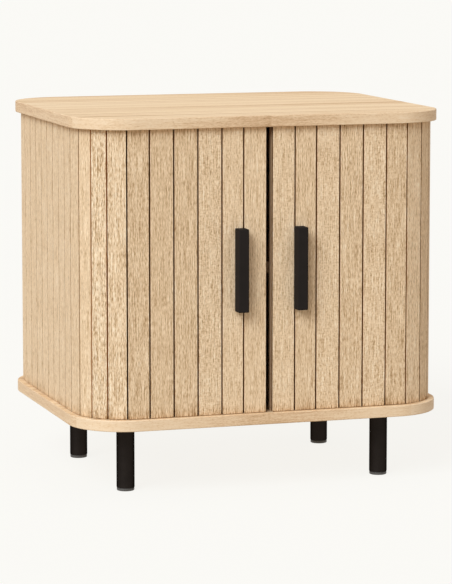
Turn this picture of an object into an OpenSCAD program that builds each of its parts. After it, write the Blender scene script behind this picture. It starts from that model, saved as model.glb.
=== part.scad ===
// Bedside table with two tambour doors.
// Two rounded slabs hold an inner carcass. A slatted curtain runs round each end of it,
// in grooves in the slabs, from the middle of the front to the rear corner.
// X is the width, -Y is the front and Z is up. The origin is on the floor, under the middle.
// Places along a curtain are measured along its outer face, from the middle of the front.

/* [Overall] */
// Width of the slabs, side to side
table_w = 550; // [450:1:670]
// Depth of the slabs, front to back
table_d = 455; // [370:1:560]
// Height of the gap between the slabs, which the slats fill
opening_h = 407; // [330:1:500]
// Height of the bottom slab's underside above the floor
ground_h = 98; // [80:1:130]

/* [Slabs] */
// Thickness of the top and bottom slabs
slab_t = 16; // [13:1:24]
// Plan radius of the slabs' corners
corner_r = 82; // [68:1:100]
// How far the slats' faces stand in from the slabs' edges
slat_inset = 8; // [6:0.5:12]

/* [Curtains] */
// Gap between the two doors when they are shut
lead_gap = 8; // [4:0.5:16]
// Pitch of a door's first slat, which the handle laps over
first_pitch = 34.2; // [30:0.1:38]
// Pitch of the second slat, which carries the handle
second_pitch = 32; // [28:0.1:38]
// Pitch of the slat that first enters the front corner
turning_pitch = 32.5; // [28:0.5:38]
// Pitch of the slat after it, in the first half of the corner
bending_pitch = 28.5; // [24:0.5:33]
// Pitch of the wide slat that leaves the front corner
leaving_pitch = 35.4; // [31:0.1:40]
// Thickness of a slat
slat_t = 8; // [6:0.5:10]
// Gap between two slats' faces
slat_gap = 2.2; // [1:0.1:3]
// How far each side of a slat leans in towards its back
slat_bevel = 1.8; // [1.2:0.1:3]
// Small flat on each front edge of a slat
slat_edge = 0.5; // [0.2:0.1:1]
// Gap between a slat's end and the slab
slat_end_gap = 0.6; // [0.4:0.1:3]
// Thickness of the canvas behind the slats
canvas_t = 0.8; // [0.4:0.1:1.2]
// Thickness of the bead along the canvas's top and bottom edges
bead_t = 3; // [2:0.1:4]
// Thickness of the stile behind the first two slats
stile_t = 9; // [6:0.5:12]
// Width of the canvas flap that is glued under the stile
flap_w = 12; // [8:1:20]

/* [Grooves] */
// Depth of the running grooves in the slabs
groove_h = 6; // [4:0.5:8]
// How far the canvas and the stile's tongues reach into a groove
groove_reach = 4; // [2.5:0.5:5]
// Width of the running grooves
groove_w = 7.5; // [6.5:0.5:9]
// Thickness of the stile's tongues
tongue_t = 4; // [3:0.5:5]

/* [Carcass] */
// Depth behind the slats' faces that is kept free for the curtain to turn in
curtain_room = 17; // [15:0.5:22]
// Direction of the carcass's corners as seen from the centre of a slab corner
carcass_angle = 35; // [25:1:45]
// Thickness of the inner sides
side_t = 15; // [12:0.5:20]
// Thickness of the shelf
shelf_t = 16; // [12:1:22]
// How far the shelf stands back from the front of the inner sides
shelf_setback = 4; // [0:1:12]
// Gap at each end and at the back of the shelf
shelf_gap = 0.5; // [0.2:0.1:1.5]
// Thickness of the back panel
back_t = 6; // [4:0.5:10]
// Distance from the rear edge of the inner sides to the back panel
back_setback = 8; // [5:1:15]
// Depth of the slots in the inner sides that hold the back panel
back_slot = 5; // [3:0.5:7]
// Gap round the back panel in its slots
back_gap = 0.3; // [0.1:0.1:0.5]

/* [Dowels and shelf pins] */
// Diameter of the dowels that join the inner sides to the slabs
dowel_d = 8; // [6:0.5:9]
// Length of a dowel
dowel_len = 28; // [22:1:36]
// Depth of a dowel's hole in a slab
dowel_in_slab = 11; // [8:0.5:12]
// Distance of the dowels from the middle of the inner side, front to back
dowel_y = 120; // [60:1:150]
// Diameter of a shelf pin
pin_d = 5; // [4:0.5:7]
// Depth of a shelf pin's hole
pin_in_side = 9; // [6:0.5:11]
// Length of a shelf pin that carries the shelf
pin_out = 10; // [7:0.5:16]
// Distance of the shelf pins from the middle of the inner side, front to back
pin_y = 130; // [60:1:150]
// Gap round dowels and pins in their holes
peg_gap = 0.1; // [0.05:0.05:0.3]

/* [Legs] */
// Diameter of a leg
leg_d = 26; // [20:1:34]
// Distance of the legs' centres from the slab's left and right edges
leg_from_side = 82.5; // [60:0.5:110]
// Distance of the front legs' centres from the slab's front edge
leg_from_front = 78.5; // [60:0.5:110]
// Distance of the rear legs' centres from the slab's rear edge
leg_from_rear = 117.5; // [60:0.5:140]
// Height of the glide under a leg
glide_h = 4.5; // [3:0.5:8]
// How much smaller than the leg a glide's radius is
glide_step = 0.4; // [0:0.1:2]
// Diameter of a glide's stem
glide_stem_d = 7; // [5:0.5:9]
// Length of a glide's stem
glide_stem = 12; // [8:1:18]
// Diameter of a leg's fixing plate
plate_d = 48; // [44:1:60]
// Thickness of a fixing plate
plate_t = 3; // [2:0.5:4]
// Diameter of the bolt in the top of a leg
bolt_d = 8; // [6:1:10]
// Length of the bolt inside the leg
bolt_in_leg = 22; // [15:1:30]
// Length of the bolt above the plate
bolt_in_slab = 9; // [6:0.5:11]
// Pitch circle of a plate's screws
plate_pcd = 36; // [34:1:46]
// Diameter of a plate screw's shank
plate_screw_d = 4; // [3:0.5:5]
// Diameter of a plate screw's head
plate_head_d = 7; // [6:0.5:9]
// Height of a plate screw's head
plate_head_h = 2.2; // [1.5:0.1:3]
// Length of a plate screw in the slab
plate_screw_in = 11; // [8:0.5:12]
// Gap round bolts, stems and screws in their holes
screw_gap = 0.1; // [0.05:0.05:0.3]

/* [Handles] */
// Width of a handle bar
handle_w = 15; // [10:0.5:20]
// How far a handle bar stands out from the slats
handle_out = 20; // [12:0.5:25]
// Height of a handle bar
handle_h = 118; // [80:0.5:160]
// How far a handle bar's middle is above the slats' middle
handle_raise = 2.5; // [-20:0.5:20]
// How far a handle bar laps over the first slat
handle_lap = 1.8; // [0:0.1:4]
// Distance between a handle's two screws
handle_pitch = 64; // [40:1:96]
// Diameter of a handle screw's shank
handle_screw_d = 4; // [3:0.5:5]
// Length of a handle screw inside the bar
handle_screw_in = 9; // [6:0.5:11]
// Diameter of a handle screw's head
handle_head_d = 8; // [6:0.5:9]
// Height of a handle screw's head, which is sunk in the stile
handle_head_h = 2.5; // [1.5:0.1:4]

/* [Hidden] */
// Counts of slats, first to last along a curtain
lead_count = 2;
front_count = 3;
corner_count = 2;
side_count = 8;
tail_count = 4;
// Slats that stay on the straight side as the door opens move as one group
side_group = [11, 14];
last_slat = lead_count + front_count + corner_count + side_count + tail_count + 3;
turning_slats = [for (n = [lead_count + 1 : last_slat]) if (n < side_group[0] || n > side_group[1]) n];
// How far past the start of the front corner, past its end, short of the rear corner
// and past the end of the rear corner the groups of slats end
front_overrun = 15.5;
corner_overrun = 14.3;
side_underrun = 14.3;
tail_overrun = 6;
// Half the web left between the two curtains' grooves at the back
back_web = 50;
// How far in front of the slats' backs the grooves begin
groove_lead = 0.6;
glue_gap = 0.1;
stile_setback = 3;
tongue_end = 3;
pilot_end = 1;
cut = 1;
round_fn = 96;
small_fn = 48;

door_sides = ["left", "right"];
carcass_nodes = [
    "top_slab", "bottom_slab", "left_inner_side", "right_inner_side", "back_panel", "shelf",
    "shelf_pins", "carcass_dowels", "front_left_leg", "front_right_leg", "rear_left_leg",
    "rear_right_leg", "leg_plates", "leg_plate_screws", "leg_bolts", "foot_glides"
];
door_parts = ["lead_slats", "lead_stile", "handle", "handle_screws", "side_slats", "canvas"];
function slat_name(side, n) = str(side, "_slat_", n < 10 ? "0" : "", n);

// Levels
bottom_z = ground_h + slab_t;
top_z = bottom_z + opening_h;
slat_z = bottom_z + slat_end_gap;
slat_h = opening_h - 2 * slat_end_gap;
middle_z = bottom_z + opening_h / 2;
shelf_z = middle_z - shelf_t / 2;

// The handles stand out past the front slab edge, so the whole is moved back to stay centred
body_y = (handle_out - slat_inset) / 2;

// Outline of the slats' faces
face_x = table_w / 2 - slat_inset;
face_y = table_d / 2 - slat_inset;
face_r = corner_r - slat_inset;
arc_x = face_x - face_r;
arc_y = face_y - face_r;
arc_len = face_r * PI / 2;

// Places along a curtain
corner_start = arc_x;
side_start = corner_start + arc_len;
rear_start = side_start + 2 * arc_y;
back_start = rear_start + arc_len;

lead_end = lead_gap / 2 + first_pitch + second_pitch;
front_end = corner_start + front_overrun;
front_pitch = (front_end - turning_pitch - lead_end) / front_count;
corner_end = side_start + corner_overrun;
corner_pitch = (corner_end - leaving_pitch - bending_pitch - front_end) / corner_count;
side_end = rear_start - side_underrun;
side_pitch = (side_end - corner_end) / side_count;
tail_pitch = (back_start + tail_overrun - side_end) / tail_count;

function repeated(value, count) = [for (i = [1 : count]) value];
pitches = concat(
    [first_pitch, second_pitch], repeated(front_pitch, front_count), [turning_pitch, bending_pitch],
    repeated(corner_pitch, corner_count), [leaving_pitch], repeated(side_pitch, side_count),
    repeated(tail_pitch, tail_count)
);
// Where slat n ends, and slat n + 1 begins
function slat_end(n) = n == 0 ? lead_gap / 2 : slat_end(n - 1) + pitches[n - 1];

function arc_point(centre, from, run) =
    centre + face_r * [cos(from + run / face_r * 180 / PI), sin(from + run / face_r * 180 / PI)];
function path_at(s) =
    s < corner_start ? [s, -face_y] :
    s < side_start ? arc_point([arc_x, -arc_y], -90, s - corner_start) :
    s < rear_start ? [face_x, s - side_start - arc_y] :
    s < back_start ? arc_point([arc_x, arc_y], 0, s - rear_start) :
    [arc_x - (s - back_start), face_y];

function slat_chord(n) = path_at(slat_end(n)) - path_at(slat_end(n - 1));
function slat_width(n) = norm(slat_chord(n));
function inward(n) = [-slat_chord(n)[1], slat_chord(n)[0]] / slat_width(n);
// The point at a depth behind the joint between slat n and the next, on the mitre between them
function mitre(n, depth) =
    let (a = inward(n), b = inward(min(n + 1, last_slat)))
    path_at(slat_end(n)) + depth * (a + b) / (1 + a * b);

// Carcass
carcass_x = arc_x + (face_r - curtain_room) * sin(carcass_angle);
carcass_y = arc_y + (face_r - curtain_room) * cos(carcass_angle);
inner_x = carcass_x - side_t;
back_y = carcass_y - back_setback - back_t;
shelf_front = -carcass_y + shelf_setback;
shelf_back = back_y - shelf_gap;

leg_x = table_w / 2 - leg_from_side;
front_leg_y = -table_d / 2 + leg_from_front;
rear_leg_y = table_d / 2 - leg_from_rear;
leg_places = [for (y = [front_leg_y, rear_leg_y], x = [-leg_x, leg_x]) [x, y]];
plate_z = ground_h - plate_t;

handle_x = lead_gap / 2 + first_pitch - handle_lap + handle_w / 2;
handle_z = middle_z + handle_raise;
groove_near = slat_t - groove_lead;
stile_start = (lead_gap + slat_gap) / 2;

module rounded_plan(w, d, r) {
    square([w - 2 * r, d], center = true);
    square([w, d - 2 * r], center = true);
    for (x = [-1, 1], y = [-1, 1])
        translate([x * (w / 2 - r), y * (d / 2 - r)])
            circle(r, $fn = round_fn);
}

module face_plan(depth) {
    rounded_plan(2 * (face_x - depth), 2 * (face_y - depth), face_r - depth);
}

module rod(d, h) {
    cylinder(h = h, d = d, $fn = small_fn);
}

// The two curtains' running grooves, cut upwards from z = 0
module running_grooves() {
    linear_extrude(groove_h)
        difference() {
            face_plan(groove_near);
            face_plan(groove_near + groove_w);
            // web at the front that the stiles' tongues stop against
            translate([0, -face_y])
                square([2 * (stile_start - glue_gap), face_y], center = true);
            translate([0, face_y])
                square([2 * back_web, face_y], center = true);
        }
}

module dowel_places() {
    for (x = [-1, 1], y = [-dowel_y, dowel_y])
        translate([x * (inner_x + side_t / 2), y])
            children();
}

module slab() {
    linear_extrude(slab_t)
        rounded_plan(table_w, table_d, corner_r);
}

module top_slab() {
    color("burlywood")
        difference() {
            translate([0, 0, top_z])
                slab();
            translate([0, 0, top_z])
                running_grooves();
            translate([0, 0, top_z - cut])
                dowel_places()
                    rod(dowel_d + 2 * peg_gap, dowel_in_slab + peg_gap + cut);
        }
}

module bottom_slab() {
    color("burlywood")
        difference() {
            translate([0, 0, ground_h])
                slab();
            translate([0, 0, bottom_z])
                mirror([0, 0, 1])
                    running_grooves();
            translate([0, 0, bottom_z + cut])
                mirror([0, 0, 1])
                    dowel_places()
                        rod(dowel_d + 2 * peg_gap, dowel_in_slab + peg_gap + cut);
            for (p = leg_places)
                translate([p[0], p[1], ground_h - cut]) {
                    rod(bolt_d + 2 * screw_gap, bolt_in_slab + pilot_end + cut);
                    plate_screw_places()
                        rod(plate_screw_d + 2 * screw_gap, plate_screw_in + pilot_end + cut);
                }
        }
}

module inner_side() {
    dowel_hole = dowel_len - dowel_in_slab + peg_gap;
    color("tan")
        difference() {
            translate([inner_x, -carcass_y, bottom_z])
                cube([side_t, 2 * carcass_y, opening_h]);
            // slot for the back panel
            translate([inner_x - cut, back_y - back_gap, bottom_z - cut])
                cube([back_slot + cut, back_t + 2 * back_gap, opening_h + 2 * cut]);
            dowel_places() {
                translate([0, 0, bottom_z - cut])
                    rod(dowel_d + 2 * peg_gap, dowel_hole + cut);
                translate([0, 0, top_z - dowel_hole])
                    rod(dowel_d + 2 * peg_gap, dowel_hole + cut);
            }
            for (y = [-pin_y, pin_y])
                translate([inner_x - cut, y, shelf_z - pin_d / 2])
                    rotate([0, 90, 0])
                        rod(pin_d + 2 * peg_gap, pin_in_side + peg_gap + cut);
        }
}

module back_panel() {
    half = inner_x + back_slot - back_gap;
    color("wheat")
        translate([-half, back_y, bottom_z])
            cube([2 * half, back_t, opening_h]);
}

module shelf() {
    half = inner_x - shelf_gap;
    color("burlywood")
        translate([-half, shelf_front, shelf_z])
            cube([2 * half, shelf_back - shelf_front, shelf_t]);
}

module shelf_pins() {
    color("silver")
        for (x = [0, 1], y = [-pin_y, pin_y])
            mirror([x, 0, 0])
                translate([inner_x - pin_out, y, shelf_z - pin_d / 2])
                    rotate([0, 90, 0])
                        rod(pin_d, pin_out + pin_in_side);
}

module carcass_dowels() {
    color("peru")
        dowel_places() {
            translate([0, 0, bottom_z - dowel_in_slab])
                rod(dowel_d, dowel_len);
            translate([0, 0, top_z + dowel_in_slab - dowel_len])
                rod(dowel_d, dowel_len);
        }
}

module leg(place) {
    color("dimgray")
        translate([place[0], place[1], glide_h])
            difference() {
                rod(leg_d, plate_z - glide_h);
                translate([0, 0, -cut])
                    rod(glide_stem_d + 2 * screw_gap, glide_stem + pilot_end + cut);
                translate([0, 0, plate_z - glide_h - bolt_in_leg - pilot_end])
                    rod(bolt_d + 2 * screw_gap, bolt_in_leg + pilot_end + cut);
            }
}

module plate_screw_places() {
    for (turn = [45 : 90 : 315])
        rotate(turn)
            translate([plate_pcd / 2, 0])
                children();
}

module leg_plates() {
    color("gray")
        for (p = leg_places)
            translate([p[0], p[1], plate_z])
                difference() {
                    rod(plate_d, plate_t);
                    translate([0, 0, -cut]) {
                        rod(bolt_d + 2 * screw_gap, plate_t + 2 * cut);
                        plate_screw_places()
                            rod(plate_screw_d + 2 * screw_gap, plate_t + 2 * cut);
                    }
                }
}

module leg_plate_screws() {
    color("silver")
        for (p = leg_places)
            translate([p[0], p[1], plate_z])
                plate_screw_places() {
                    translate([0, 0, -plate_head_h])
                        rod(plate_head_d, plate_head_h);
                    rod(plate_screw_d, plate_t + plate_screw_in);
                }
}

module leg_bolts() {
    color("silver")
        for (p = leg_places)
            translate([p[0], p[1], plate_z - bolt_in_leg])
                rod(bolt_d, bolt_in_leg + plate_t + bolt_in_slab);
}

module foot_glides() {
    color("slategray")
        for (p = leg_places)
            translate([p[0], p[1], 0]) {
                rod(leg_d - 2 * glide_step, glide_h);
                rod(glide_stem_d, glide_h + glide_stem);
            }
}

// Section of slat n, its front face on y = 0 and its back towards +y
module slat_section(n) {
    w = slat_width(n);
    g = slat_gap / 2;
    polygon([
        [g + slat_edge, 0], [w - g - slat_edge, 0], [w - g, slat_edge],
        [w - g - slat_bevel, slat_t], [g + slat_bevel, slat_t], [g, slat_edge]
    ]);
}

module slat(n) {
    start = path_at(slat_end(n - 1));
    chord = slat_chord(n);
    color("burlywood")
        translate([start[0], start[1], slat_z])
            rotate(atan2(chord[1], chord[0]))
                linear_extrude(slat_h)
                    slat_section(n);
}

// A handle screw's place on the face of the first slats, its axis along +y
module handle_screw_places() {
    for (z = [-1, 1])
        translate([handle_x, -face_y, handle_z + z * handle_pitch / 2])
            rotate([-90, 0, 0])
                children();
}

module lead_slats() {
    difference() {
        for (n = [1 : lead_count])
            slat(n);
        translate([0, -cut, 0])
            handle_screw_places()
                rod(handle_screw_d + 2 * screw_gap, slat_t + 2 * cut);
    }
}

module lead_stile() {
    length = lead_end - stile_setback - stile_start;
    back = slat_t + stile_t;
    tongue_y = groove_near + (groove_w - tongue_t) / 2;
    color("peru")
        difference() {
            union() {
                translate([stile_start, slat_t - face_y, slat_z])
                    cube([length, stile_t, slat_h]);
                // tongues that run in the straight part of the grooves
                translate([stile_start, tongue_y - face_y, bottom_z - groove_reach])
                    cube([length - tongue_end, tongue_t, opening_h + 2 * groove_reach]);
            }
            // rebate for the canvas flap
            translate([lead_end - flap_w - glue_gap, slat_t - cut - face_y, bottom_z - groove_h])
                cube([flap_w, canvas_t + 2 * glue_gap + cut, opening_h + 2 * groove_h]);
            handle_screw_places() {
                rod(handle_screw_d + 2 * screw_gap, back + cut);
                translate([0, 0, back - handle_head_h - screw_gap])
                    rod(handle_head_d + 2 * screw_gap, handle_head_h + screw_gap + cut);
            }
        }
}

module handle() {
    color("black")
        difference() {
            translate([handle_x - handle_w / 2, -face_y - handle_out, handle_z - handle_h / 2])
                cube([handle_w, handle_out, handle_h]);
            translate([0, -handle_screw_in - pilot_end, 0])
                handle_screw_places()
                    rod(handle_screw_d + 2 * screw_gap, handle_screw_in + pilot_end + cut);
        }
}

module handle_screws() {
    back = slat_t + stile_t;
    color("silver")
        handle_screw_places() {
            translate([0, 0, -handle_screw_in])
                rod(handle_screw_d, handle_screw_in + back);
            translate([0, 0, back - handle_head_h])
                rod(handle_head_d, handle_head_h);
        }
}

module side_slats() {
    for (n = [side_group[0] : side_group[1]])
        slat(n);
}

// Plan of a strip that follows the backs of the slats, between two depths behind their faces
module curtain_plan(from_n, near, far, flap) {
    count = last_slat - from_n;
    start = path_at(slat_end(from_n) - flap);
    front_side = [for (i = [0 : count]) mitre(from_n + i, near)];
    back_side = [for (i = [0 : count]) mitre(last_slat - i, far)];
    polygon(concat([start + [0, near]], front_side, back_side, [start + [0, far]]));
}

module canvas() {
    near = slat_t + glue_gap;
    height = opening_h + 2 * groove_reach;
    bead_h = groove_reach - 2 * glue_gap;
    color("beige") {
        translate([0, 0, slat_z])
            linear_extrude(slat_h)
                curtain_plan(lead_count, near, near + canvas_t, flap_w);
        translate([0, 0, bottom_z - groove_reach])
            linear_extrude(height)
                curtain_plan(lead_count, near, near + canvas_t, 0);
        for (z = [bottom_z - groove_reach, top_z + groove_reach - bead_h])
            translate([0, 0, z])
                linear_extrude(bead_h)
                    curtain_plan(lead_count, near, near + bead_t, 0);
    }
}

// Doors are drawn for the right side and mirrored for the left
module on_side(side) {
    translate([0, body_y, 0])
        mirror([side == "left" ? 1 : 0, 0, 0])
            children();
}

module centred() {
    translate([0, body_y, 0])
        children();
}

centred() top_slab();
centred() bottom_slab();
on_side("left") inner_side();  // left_inner_side
on_side("right") inner_side();  // right_inner_side
centred() back_panel();
centred() shelf();
centred() shelf_pins();
centred() carcass_dowels();
centred() leg(leg_places[0]);  // front_left_leg
centred() leg(leg_places[1]);  // front_right_leg
centred() leg(leg_places[2]);  // rear_left_leg
centred() leg(leg_places[3]);  // rear_right_leg
centred() leg_plates();
centred() leg_plate_screws();
centred() leg_bolts();
centred() foot_glides();
for (side = door_sides) {
    on_side(side) lead_slats();
    on_side(side) lead_stile();
    on_side(side) handle();
    on_side(side) handle_screws();
    on_side(side) side_slats();
    on_side(side) canvas();
    for (n = turning_slats)
        on_side(side) slat(n);
}
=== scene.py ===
import bpy
import bmesh
import math
import random
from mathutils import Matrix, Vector


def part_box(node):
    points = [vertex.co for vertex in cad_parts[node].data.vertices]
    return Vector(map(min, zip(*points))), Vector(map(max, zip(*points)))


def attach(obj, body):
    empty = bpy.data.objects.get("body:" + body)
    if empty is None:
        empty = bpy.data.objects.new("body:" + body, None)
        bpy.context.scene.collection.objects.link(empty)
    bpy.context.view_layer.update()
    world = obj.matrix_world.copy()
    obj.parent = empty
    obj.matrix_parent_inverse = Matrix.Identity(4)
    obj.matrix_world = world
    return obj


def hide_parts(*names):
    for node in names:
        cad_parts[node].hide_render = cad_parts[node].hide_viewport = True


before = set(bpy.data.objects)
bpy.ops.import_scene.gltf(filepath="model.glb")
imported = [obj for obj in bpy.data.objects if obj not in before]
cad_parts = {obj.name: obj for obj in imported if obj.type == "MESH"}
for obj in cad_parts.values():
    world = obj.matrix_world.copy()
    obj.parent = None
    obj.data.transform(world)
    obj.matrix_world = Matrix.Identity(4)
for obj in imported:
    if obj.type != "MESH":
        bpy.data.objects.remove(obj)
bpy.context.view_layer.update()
mm = 0.001


# camera, at the photo's viewing angle

view = {
    "place": (-1.3133, -4.0976, 0.8507),
    "downAngle": 7.152,
    "turnAngle": 17.824,
    "lens": 180.38,
    "sensorWide": 36,
    "shiftUp": -0.06,
    "clip": (0.1, 200),
}


def newObject(name, data):
    thing = bpy.data.objects.new(name, data)
    bpy.context.scene.collection.objects.link(thing)
    return thing


def addCamera(look):
    data = bpy.data.cameras.new("photoCamera")
    data.sensor_width = look["sensorWide"]
    data.lens = look["lens"]
    data.shift_y = look["shiftUp"]
    data.clip_start, data.clip_end = look["clip"]
    camera = newObject("photoCamera", data)
    camera.location = look["place"]
    camera.rotation_euler = (math.radians(90 - look["downAngle"]), 0, math.radians(-look["turnAngle"]))
    bpy.context.scene.camera = camera


addCamera(view)
print("camera placed")


# measures that the pieces share, in metres, taken from the CAD boxes where they can be

bottomLow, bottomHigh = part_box("bottom_slab")
halfWide = bottomHigh.x
halfDeep = (bottomHigh.y - bottomLow.y) / 2
centreY = (bottomHigh.y + bottomLow.y) / 2
floorOfSpace, roofOfSpace = bottomHigh.z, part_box("top_slab")[0].z
sideNames = {"left": -1, "right": 1}

slabMeasures = {
    "cornerRadius": 82 * mm,
    "slatInset": 8 * mm,
    "grooveNear": 7.4 * mm,         # from the slats' faces to the groove
    "grooveWidth": 7.5 * mm,
    "grooveDepth": 6 * mm,
    "webFront": 5.8 * mm,           # half the wood left between the left and right grooves
    "webBack": 50 * mm,
}
slatMeasures = {
    "thick": 8 * mm,
    "gap": 2.2 * mm,
    "lean": 1.8 * mm,               # a slat's edges slope in by this much towards its back
    "endGap": 0.6 * mm,
    "firstEdge": 4 * mm,            # from the middle of the front
    # widths of single slats, joints included
    "lead": [34.2 * mm, 32 * mm],
    "turning": 32.5 * mm,           # lies across the start of the front corner
    "bending": 28.5 * mm,           # the next one
    "leaving": 35.4 * mm,           # lies across the corner's end
    # even slats between them: how many, and how far past the start or end of a bend they are done,
    # counting the turning or the leaving slat that comes after them
    "front": (3, 15.5 * mm),
    "corner": (2, 14.3 * mm),
    "side": (8, -14.3 * mm),
    "tail": (4, 6 * mm),
}
faceX = halfWide - slabMeasures["slatInset"]
faceY = halfDeep - slabMeasures["slatInset"]
faceR = slabMeasures["cornerRadius"] - slabMeasures["slatInset"]
arcX, arcY = faceX - faceR, faceY - faceR
arcRun = faceR * math.pi / 2
# how far along a curtain its bends begin and end, from the middle of the front
sideStart = arcX + arcRun
rearStart = sideStart + 2 * arcY
backStart = rearStart + arcRun


def curtainPoint(run):
    # a point on the slats' outer face, on the right side
    if run < arcX:
        return Vector((run, -faceY))
    if run < sideStart:
        turn = (run - arcX) / faceR
        return Vector((arcX + faceR * math.sin(turn), -arcY - faceR * math.cos(turn)))
    if run < rearStart:
        return Vector((faceX, run - sideStart - arcY))
    if run < backStart:
        turn = (run - rearStart) / faceR
        return Vector((arcX + faceR * math.cos(turn), arcY + faceR * math.sin(turn)))
    return Vector((arcX - (run - backStart), faceY))


def slatJoints(look):
    # where the slats meet along a curtain
    joints = [look["firstEdge"]]

    def lay(*widths):
        for width in widths:
            joints.append(joints[-1] + width)

    def fill(end, group):
        count, past = look[group]
        lay(*[(end + past - joints[-1]) / count] * count)

    lay(*look["lead"])
    fill(arcX - look["turning"], "front")
    lay(look["turning"], look["bending"])
    fill(sideStart - look["leaving"], "corner")
    lay(look["leaving"])
    fill(rearStart, "side")
    fill(backStart, "tail")
    return joints


slatEnds = slatJoints(slatMeasures)
lastSlat = len(slatEnds) - 1
slatLow = floorOfSpace + slatMeasures["endGap"]
slatHigh = roofOfSpace - slatMeasures["endGap"]


def slatFrame(number, side):
    # maps (across the slat, depth behind its face, height) to the room, for one slat
    start, end = curtainPoint(slatEnds[number - 1]), curtainPoint(slatEnds[number])
    along = (end - start).normalized()
    inward = Vector((-along.y, along.x))

    def place(across, depth, height):
        p = start + along * across + inward * depth
        return Vector((side * p.x, p.y + centreY, height))
    return place, (end - start).length


# making meshes

weldReach = 0.01 * mm       # points closer than this are one


def newGrainMesh():
    # a mesh under construction: its face corners carry the place of the grain (across, along, seed)
    # and the tone, with painted shade and painted light on some faces (lighter or darker, strength of the
    # figure, strength of the ripple)
    bm = bmesh.new()
    bm.loops.layers.float_vector.new("grain")
    bm.loops.layers.float_vector.new("toneAndShade")
    return bm


def grainLayers(bm):
    layers = bm.loops.layers.float_vector
    return layers["grain"], layers["toneAndShade"]


def meshObject(name, bm):
    mesh = bpy.data.meshes.new(name)
    bm.to_mesh(mesh)
    bm.free()
    return newObject(name, mesh)


def finishPiece(name, bm, materials, sharp=50):
    # edges sharper than this many degrees stay sharp
    bmesh.ops.remove_doubles(bm, verts=bm.verts, dist=weldReach)
    bmesh.ops.recalc_face_normals(bm, faces=bm.faces)
    for face in bm.faces:
        face.smooth = True
    for edge in bm.edges:
        edge.smooth = len(edge.link_faces) == 2 and edge.calc_face_angle(0) < math.radians(sharp)
    piece = meshObject(name, bm)
    for material in materials:
        piece.data.materials.append(material)
    return piece


def settle(piece, body, node):
    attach(piece, body)
    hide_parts(node)


def addBox(bm, low, high):
    size, middle = Vector(high) - Vector(low), (Vector(high) + Vector(low)) / 2
    for vert in bmesh.ops.create_cube(bm, size=1)["verts"]:
        vert.co = Vector(vert.co[i] * size[i] + middle[i] for i in range(3))


blockLook = {
    "easeSteps": 3,
    "endFacing": 0.8,       # faces that look along the grain more than this show end grain
    "endSquash": 0.2,       # end grain is drawn out across the board
    "turnShift": 0.7,       # moves the figure on from one side of a board to the next
    "endSeed": 0.5,
}


def numberedByPlace(bm):
    # the same mesh, its points and faces numbered by where they are: a bevel numbers them anew each run
    points = sorted(bm.verts, key=lambda vert: [round(value, 6) for value in vert.co])
    rank = {vert: i for i, vert in enumerate(points)}
    outlines = []
    for face in bm.faces:
        corners = [rank[vert] for vert in face.verts]
        first = corners.index(min(corners))
        outlines.append(corners[first:] + corners[:first])
    placed = newGrainMesh()
    copies = [placed.verts.new(vert.co) for vert in points]
    for corners in sorted(outlines):
        placed.faces.new([copies[i] for i in corners])
    placed.normal_update()
    bm.free()
    return placed


def easedBlock(low, high, ease, alongAxis, seed, tone=0, materialOf=None):
    # a block with rounded edges, its grain laid along one axis
    bm = bmesh.new()
    addBox(bm, low, high)
    bmesh.ops.bevel(bm, geom=bm.edges[:], offset=ease, segments=blockLook["easeSteps"],
                    profile=0.5, affect="EDGES")
    broad = sorted(bm.faces, key=lambda face: face.calc_area())[-6:]
    # a narrow rim on each broad face keeps the soft shading at the edges
    bmesh.ops.inset_individual(bm, faces=broad, thickness=ease * 0.5, use_even_offset=True)
    bm = numberedByPlace(bm)
    grain, toneAndShade = grainLayers(bm)
    for face in bm.faces:
        normal = face.normal
        acrossAxes = [axis for axis in range(3) if axis != alongAxis]
        flat, steep = sorted(acrossAxes, key=lambda axis: abs(normal[axis]))
        for loop in face.loops:
            co = loop.vert.co
            if abs(normal[alongAxis]) > blockLook["endFacing"]:
                loop[grain] = (co[flat], co[steep] * blockLook["endSquash"], seed + blockLook["endSeed"])
            else:
                loop[grain] = (co[flat] + co[steep] * blockLook["turnShift"], co[alongAxis], seed)
            loop[toneAndShade] = (tone, 1, 0)
        if materialOf:
            face.material_index = materialOf(normal)
    return bm


def addTurned(bm, profile, place, axis, steps):
    # turns a profile of (radius, distance) points round an axis
    turn = Vector((0, 0, 1)).rotation_difference(Vector(axis)).to_matrix()
    rings = []
    for radius, distance in profile:
        angles = [2 * math.pi * i / steps for i in range(steps if radius > 0 else 1)]
        points = [Vector((radius * math.cos(a), radius * math.sin(a), distance)) for a in angles]
        rings.append([bm.verts.new(Vector(place) + turn @ point) for point in points])
    for lower, upper in zip(rings, rings[1:]):
        for i in range(steps):
            j = (i + 1) % steps
            corners = [lower[i % len(lower)], lower[j % len(lower)]]
            corners += [upper[j % len(upper)], upper[i % len(upper)]]
            bm.faces.new(list(dict.fromkeys(corners)))      # a point on the axis counts once
    for ring in (rings[0], rings[-1]):
        if len(ring) > 1:
            bm.faces.new(ring)


def easedEnd(radius, ease, height, way):
    # the profile of a small rounded edge from the end to the side, way +1 at a lower end
    bulge = 0.3 * ease
    return [(radius - ease, height), (radius - bulge, height + way * bulge), (radius, height + way * ease)]


def carve(piece, cutters, operation="DIFFERENCE"):
    # applies booleans, then throws the cutters away
    for cutter in cutters:
        step = piece.modifiers.new("carve", "BOOLEAN")
        step.operation = operation
        step.solver = "EXACT"
        step.object = cutter
        graph = bpy.context.evaluated_depsgraph_get()
        carved = piece.evaluated_get(graph)
        mesh = bpy.data.meshes.new_from_object(carved, preserve_all_data_layers=True, depsgraph=graph)
        piece.modifiers.clear()
        old = piece.data
        piece.data = mesh
        bpy.data.meshes.remove(old)
        mesh.name = piece.name
        bpy.data.meshes.remove(cutter.data)     # takes the cutter's object with it
    return piece


def cutterFrom(bm):
    bmesh.ops.recalc_face_normals(bm, faces=bm.faces)
    return meshObject("cutter", bm)


def boxCutter(low, high):
    bm = newGrainMesh()
    addBox(bm, low, high)
    return cutterFrom(bm)


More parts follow.
